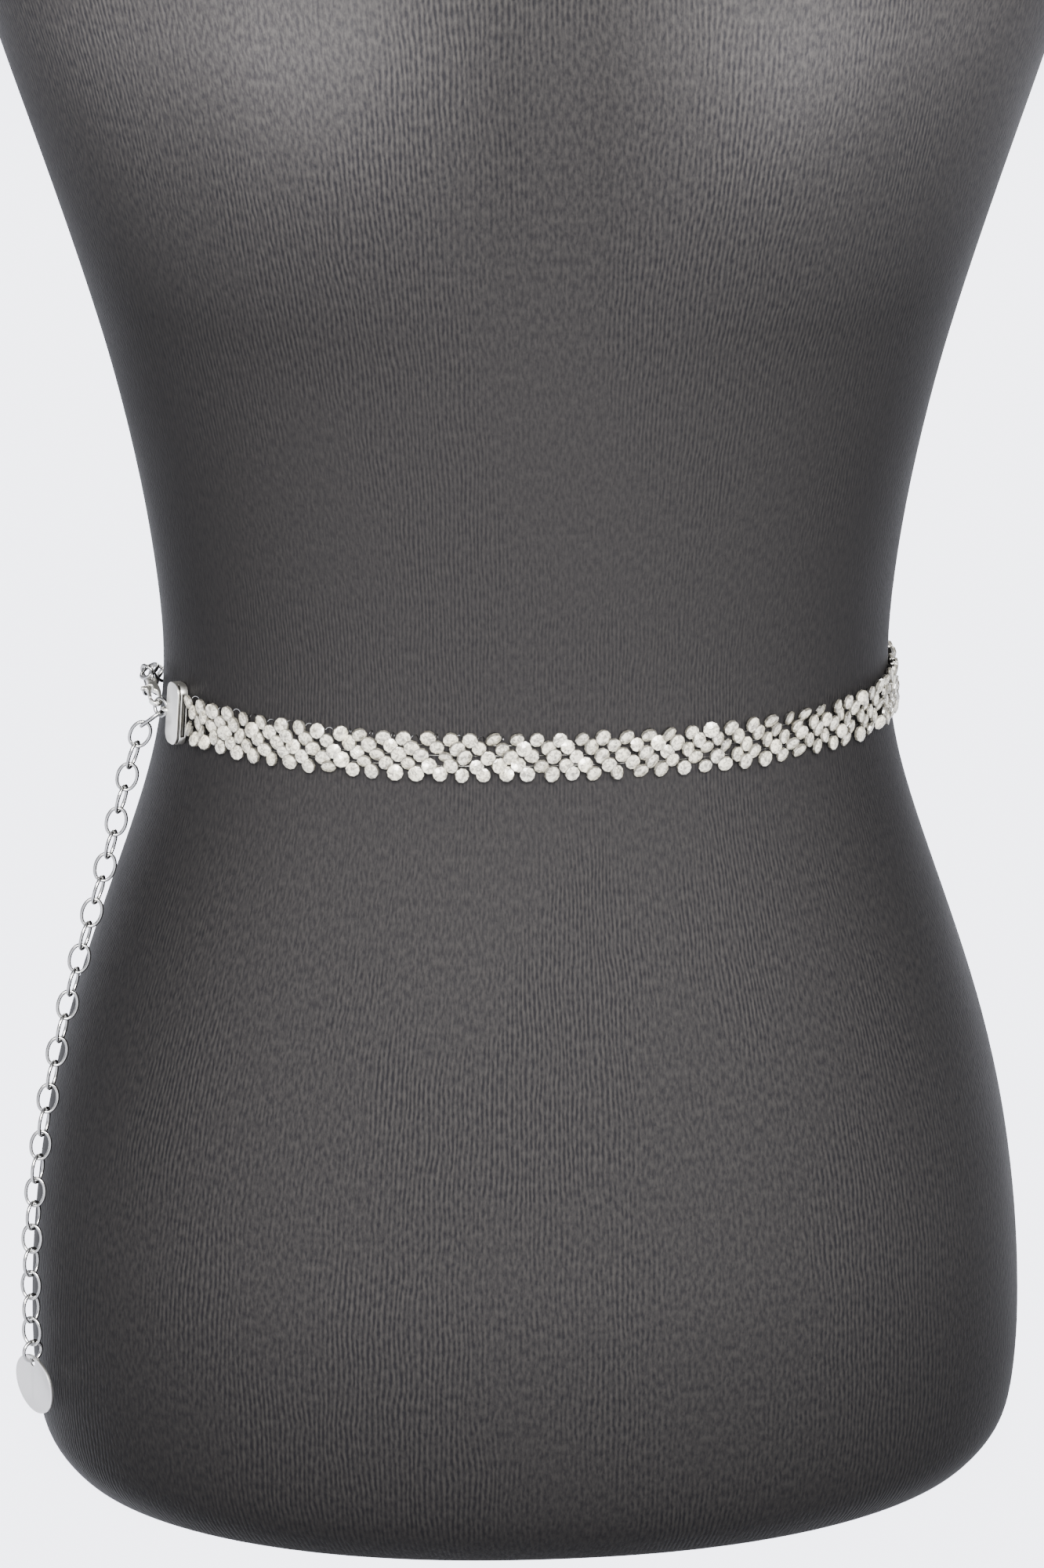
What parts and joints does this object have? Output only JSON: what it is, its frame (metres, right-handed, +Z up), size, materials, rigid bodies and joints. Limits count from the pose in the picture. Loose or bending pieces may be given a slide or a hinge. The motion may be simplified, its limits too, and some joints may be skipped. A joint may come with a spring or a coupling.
{
  "type": "rhinestone chain belt on a limbless dress form",
  "caption": "Stone-set band belt with a cable chain back, a lobster clasp and a hanging chain that ends in a blank disc, fastened on a limbless dress form",
  "frame": {"origin": "centre of the dress form's flat base, on the surface that it stands on", "axes": "+Z up the form, -Y the front with the stone band, +X the viewer's right; the clasp and the hanging chain are at -X"},
  "size_m": [0.383, 0.2544, 0.758],
  "materials": {
    "form_cover": "black stretch knit over a hard shell",
    "cup_set_stone": "foil-backed glass stones in bright plated metal cups",
    "silver_plate": "bright silver plate on brass wire and zinc castings",
    "satin_silver": "satin silver plate"
  },
  "bodies": {
    "root": {"dress_form": "form_cover", "stone_band": "cup_set_stone", "end_bar_left": "silver_plate", "end_bar_right": "silver_plate", "jump_ring_left": "silver_plate", "jump_ring_right": "silver_plate", "clasp_body": "silver_plate", "clasp_trigger": "silver_plate", "clasp_ring": "silver_plate", "back_chain_01": "silver_plate", "back_chain_02": "silver_plate", "back_chain_03": "silver_plate", "back_chain_04": "silver_plate", "back_chain_05": "silver_plate", "back_chain_06": "silver_plate", "back_chain_07": "silver_plate", "back_chain_08": "silver_plate", "back_chain_09": "silver_plate", "back_chain_10": "silver_plate", "back_chain_11": "silver_plate", "hanging_link_01": "silver_plate", "hanging_link_02": "silver_plate", "hanging_link_03": "silver_plate", "hanging_link_04": "silver_plate", "hanging_link_05": "silver_plate", "hanging_link_06": "silver_plate", "hanging_link_07": "silver_plate", "hanging_link_08": "silver_plate", "hanging_link_09": "silver_plate", "hanging_link_10": "silver_plate", "hanging_link_11": "silver_plate", "hanging_link_12": "silver_plate", "hanging_link_13": "silver_plate", "hanging_link_14": "silver_plate", "hanging_link_15": "silver_plate", "hanging_link_16": "silver_plate", "hanging_link_17": "silver_plate", "hanging_link_18": "silver_plate", "hanging_link_19": "silver_plate", "hanging_link_20": "silver_plate", "hanging_link_21": "silver_plate", "hanging_link_22": "silver_plate", "hanging_link_23": "silver_plate", "hanging_link_24": "silver_plate", "hanging_link_25": "silver_plate", "hanging_link_26": "silver_plate", "hanging_link_27": "silver_plate", "hanging_link_28": "silver_plate", "tag_ring": "silver_plate"},
    "tag": {"disc_tag": "satin_silver"}
  },
  "joints": [
    {"name": "tag_swing", "type": "hinge", "parent": "root", "child": "tag", "pos_m": [-0.17072, -0.04145, 0.0476], "axis": [-0.8079, -0.587, -0.0523], "range_deg": [-68, 68]}
  ]
}
